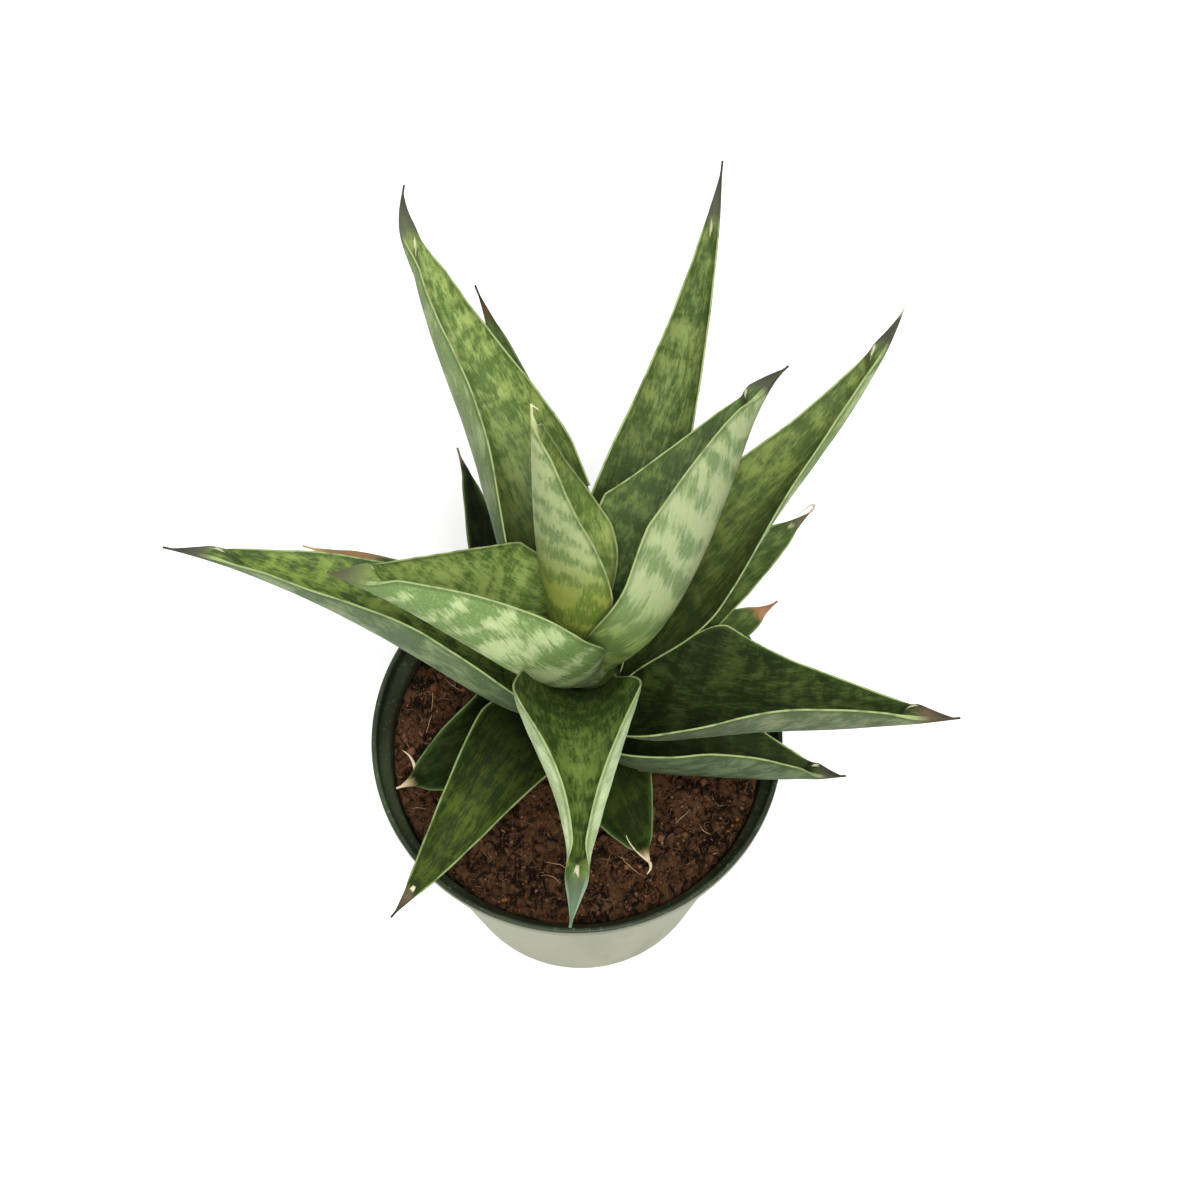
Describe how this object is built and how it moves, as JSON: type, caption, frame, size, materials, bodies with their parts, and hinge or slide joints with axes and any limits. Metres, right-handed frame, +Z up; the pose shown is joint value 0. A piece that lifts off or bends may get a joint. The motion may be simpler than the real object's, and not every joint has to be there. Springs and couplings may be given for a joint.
{
  "type": "potted snake plant",
  "caption": "Compact rosette of stiff, channelled snake plant leaves with needle tips, growing in potting mix in a small round nursery pot.",
  "frame": {"origin": "centre of the pot's flat underside, on the surface it stands on", "axes": "+Z up; the picture was taken from the -Y side, looking down, with +X to its right"},
  "size_m": [0.1923, 0.2054, 0.2145],
  "materials": {
    "pot": "smooth moulded plastic, pale sage outside and dark green on the lip and inside",
    "soil": "loose dark brown peat and coir",
    "stem": "pale yellow-green plant flesh",
    "leaf": "waxy green leaf with paler mottling and a thin pale margin"
  },
  "bodies": {
    "root": {"pot": "pot", "soil": "soil", "stem": "stem", "leaf_01": "leaf", "leaf_02": "leaf", "leaf_03": "leaf", "leaf_04": "leaf", "leaf_05": "leaf", "leaf_06": "leaf", "leaf_07": "leaf", "leaf_08": "leaf", "leaf_09": "leaf", "leaf_10": "leaf", "leaf_11": "leaf", "leaf_12": "leaf", "leaf_13": "leaf", "leaf_14": "leaf", "leaf_15": "leaf", "leaf_16": "leaf", "leaf_17": "leaf", "leaf_18": "leaf", "leaf_19": "leaf"}
  },
  "joints": []
}
